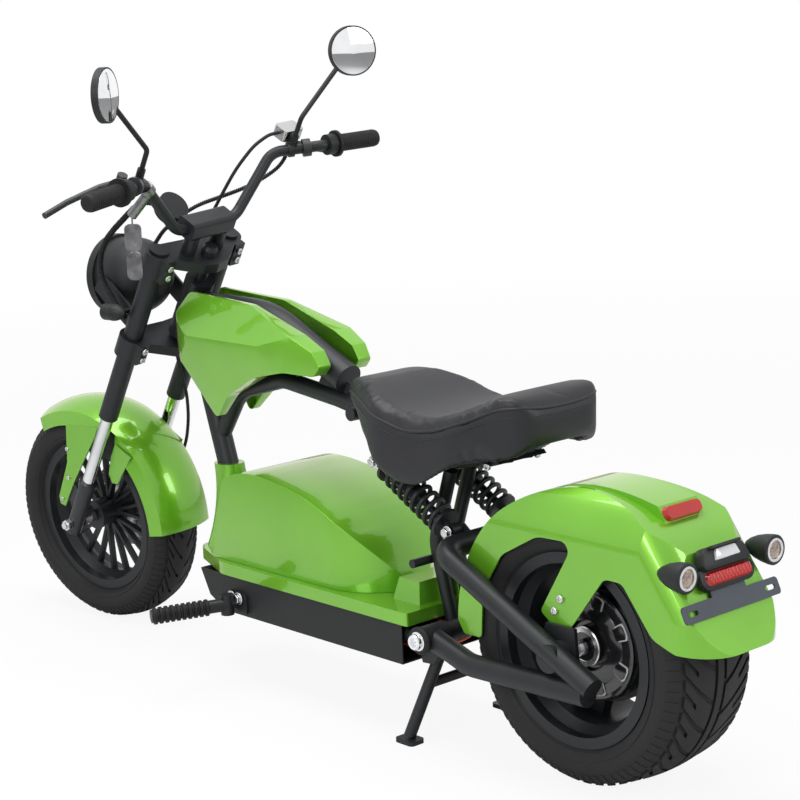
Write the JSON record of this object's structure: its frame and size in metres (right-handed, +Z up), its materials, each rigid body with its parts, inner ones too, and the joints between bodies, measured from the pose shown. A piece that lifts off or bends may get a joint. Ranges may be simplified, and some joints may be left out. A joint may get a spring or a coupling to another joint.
{
  "type": "electric chopper scooter",
  "caption": "Low two-wheeled electric scooter in chopper style, with a raked fork, high bars, a scooped seat, a deck over its battery box and wide tyres.",
  "frame": {"origin": "centre of the model's footprint, on the ground that its stand feet and front tyre rest on", "axes": "+X is forward, the way the vehicle travels, +Y is the rider's left and +Z is up"},
  "size_m": [1.9836, 0.7931, 1.2509],
  "materials": {
    "green_paint": "gloss",
    "frame_black": "satin",
    "box_black": "matte",
    "tyre_rubber": "matte",
    "grip_rubber": "matte",
    "seat_cover": "satin",
    "fork_chrome": "polished",
    "bare_steel": "satin",
    "cast_alloy": "satin",
    "motor_black": "gloss",
    "clear_lens": "gloss",
    "red_lens": "gloss",
    "mirror_glass": "polished",
    "bracket_grey": "satin",
    "cable_black": "matte",
    "cable_orange": "satin"
  },
  "bodies": {
    "front_wheel": {"front_tyre": "tyre_rubber", "front_rim": "frame_black", "front_brake_disc": "bare_steel"},
    "rear_wheel": {"rear_tyre": "tyre_rubber", "rear_rim": "frame_black", "hub_motor": "motor_black", "rear_brake_disc": "bare_steel"},
    "fork": {"fork_sleeves": "frame_black", "fork_stanchions": "fork_chrome", "fork_lowers": "cast_alloy", "front_axle": "bare_steel", "lower_clamp": "frame_black", "upper_clamp": "frame_black", "stem_nut": "frame_black", "front_fender": "green_paint", "front_caliper": "cast_alloy", "headlight": "box_black", "headlight_lens": "clear_lens", "headlight_bracket": "frame_black", "front_indicators": "box_black", "handlebar": "frame_black", "bar_clamp": "frame_black", "grips": "grip_rubber", "switch_housings": "box_black", "brake_levers": "cast_alloy", "brake_reservoir": "bare_steel", "left_mirror": "box_black", "right_mirror": "box_black", "mirror_glasses": "mirror_glass", "speedometer": "box_black", "control_cables": "cable_black", "brake_hose": "cable_black", "key_set": "bare_steel"},
    "stand_body": {"stand": "frame_black"},
    "cover_body": {"battery_cover": "green_paint"},
    "chassis": {"front_frame": "frame_black", "deck_frame": "frame_black", "left_side_panel": "green_paint", "right_side_panel": "green_paint", "battery_box": "box_black", "battery_pack": "box_black", "deck_cover": "green_paint", "left_swingarm": "frame_black", "right_swingarm": "frame_black", "swingarm_bridge": "frame_black", "pivot_bolt": "bare_steel", "rear_axle": "bare_steel", "seat_frame": "frame_black", "shocks": "frame_black", "springs": "frame_black", "seat": "seat_cover", "rear_fender": "green_paint", "rear_caliper": "cast_alloy", "tail_lens": "red_lens", "rear_lamp": "box_black", "rear_lamp_lens": "red_lens", "plate_bracket": "bracket_grey", "rear_indicators": "box_black", "foot_pegs": "frame_black", "motor_cable": "cable_orange"}
  },
  "joints": [
    {"name": "steering", "type": "hinge", "parent": "chassis", "child": "fork", "pos_m": [0.70944, 0, 0.21267], "axis": [-0.515, 0, 0.8572], "range_deg": [-46, 30]},
    {"name": "front_wheel_spin", "type": "hinge", "parent": "fork", "child": "front_wheel", "pos_m": [0.74594, 0.00598, 0.2346], "axis": [-0.1193, 0.9903, -0.0717], "continuous": true},
    {"name": "rear_wheel_spin", "type": "hinge", "parent": "chassis", "child": "rear_wheel", "pos_m": [-0.7037, 0, 0.242], "axis": [0, 1, 0], "continuous": true},
    {"name": "stand_fold", "type": "hinge", "parent": "chassis", "child": "stand_body", "pos_m": [-0.3587, 0, 0.16], "axis": [0, 1, 0], "range_deg": [0, 62]},
    {"name": "cover_lift", "type": "hinge", "parent": "chassis", "child": "cover_body", "pos_m": [0.2483, 0, 0.238], "axis": [0, 1, 0], "range_deg": [0, 25]}
  ]
}
